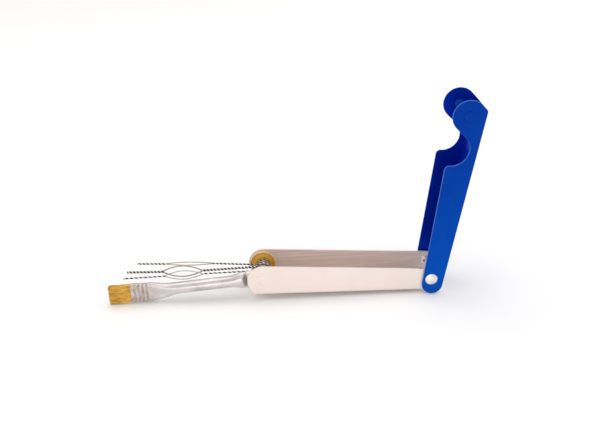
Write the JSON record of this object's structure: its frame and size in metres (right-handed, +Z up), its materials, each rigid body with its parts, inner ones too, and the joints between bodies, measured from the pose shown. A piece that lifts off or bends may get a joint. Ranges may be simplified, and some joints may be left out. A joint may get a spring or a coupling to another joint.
{
  "type": "folding groove cleaning tool",
  "caption": "Folding pocket tool: a metal channel case with a swing-out flat brush and twisted wire picks on one pivot, and a riveted blue cover that opens to lengthen the handle.",
  "frame": {"origin": "centre of the bounding box's footprint, on the surface that the open tool stands on", "axes": "+X from the tools to the cover, along the case; +Y across the case, from the brush to the picks; +Z up"},
  "size_m": [0.2158, 0.0276, 0.1161],
  "materials": {
    "case_aluminium": "satin, brushed lengthways",
    "cover_blue": "blue anodised, satin gloss",
    "rivet_steel": "polished",
    "pin_aluminium": "satin",
    "zinc_steel": "plated",
    "brass": "satin, slightly tarnished",
    "tinplate": "bright tin plate",
    "wire_steel": "twisted, oiled",
    "bristle": "golden fibre",
    "washer_plastic": "natural nylon"
  },
  "bodies": {
    "case_body": {"case": "case_aluminium", "tool_pivot_pin": "pin_aluminium", "cup_washer": "brass", "flanged_bush": "zinc_steel", "long_spacer": "zinc_steel", "short_spacer": "zinc_steel", "pivot_washer_1": "zinc_steel", "pivot_washer_2": "zinc_steel", "pivot_washer_3": "zinc_steel", "pick_bush_1": "zinc_steel", "pick_bush_2": "zinc_steel", "cover_rivet_far": "rivet_steel", "cover_rivet_near": "rivet_steel", "cover_washer_far": "washer_plastic", "cover_washer_near": "washer_plastic"},
    "cover_body": {"cover": "cover_blue"},
    "brush": {"brush_handle": "tinplate", "bristles": "bristle"},
    "medium_pick": {"pick_medium": "wire_steel"},
    "thick_pick": {"pick_thick": "wire_steel"},
    "thin_pick": {"pick_thin": "wire_steel"}
  },
  "joints": [
    {"name": "cover_hinge", "type": "hinge", "parent": "case_body", "child": "cover_body", "pos_m": [0.08196, 0, 0.00971], "axis": [0, 1, 0], "range_deg": [-96.27, 81.9]},
    {"name": "brush_hinge", "type": "hinge", "parent": "case_body", "child": "brush", "pos_m": [-0.01599, 0, 0.01283], "axis": [0, -1, 0], "range_deg": [-186.45, 13.6]},
    {"name": "medium_pick_hinge", "type": "hinge", "parent": "case_body", "child": "medium_pick", "pos_m": [-0.01599, 0, 0.01283], "axis": [0, -1, 0], "range_deg": [-178.4, 50]},
    {"name": "thick_pick_hinge", "type": "hinge", "parent": "case_body", "child": "thick_pick", "pos_m": [-0.01599, 0, 0.01283], "axis": [0, -1, 0], "range_deg": [-180.5, 48]},
    {"name": "thin_pick_hinge", "type": "hinge", "parent": "case_body", "child": "thin_pick", "pos_m": [-0.01599, 0, 0.01283], "axis": [0, -1, 0], "range_deg": [-182.6, 45]}
  ]
}
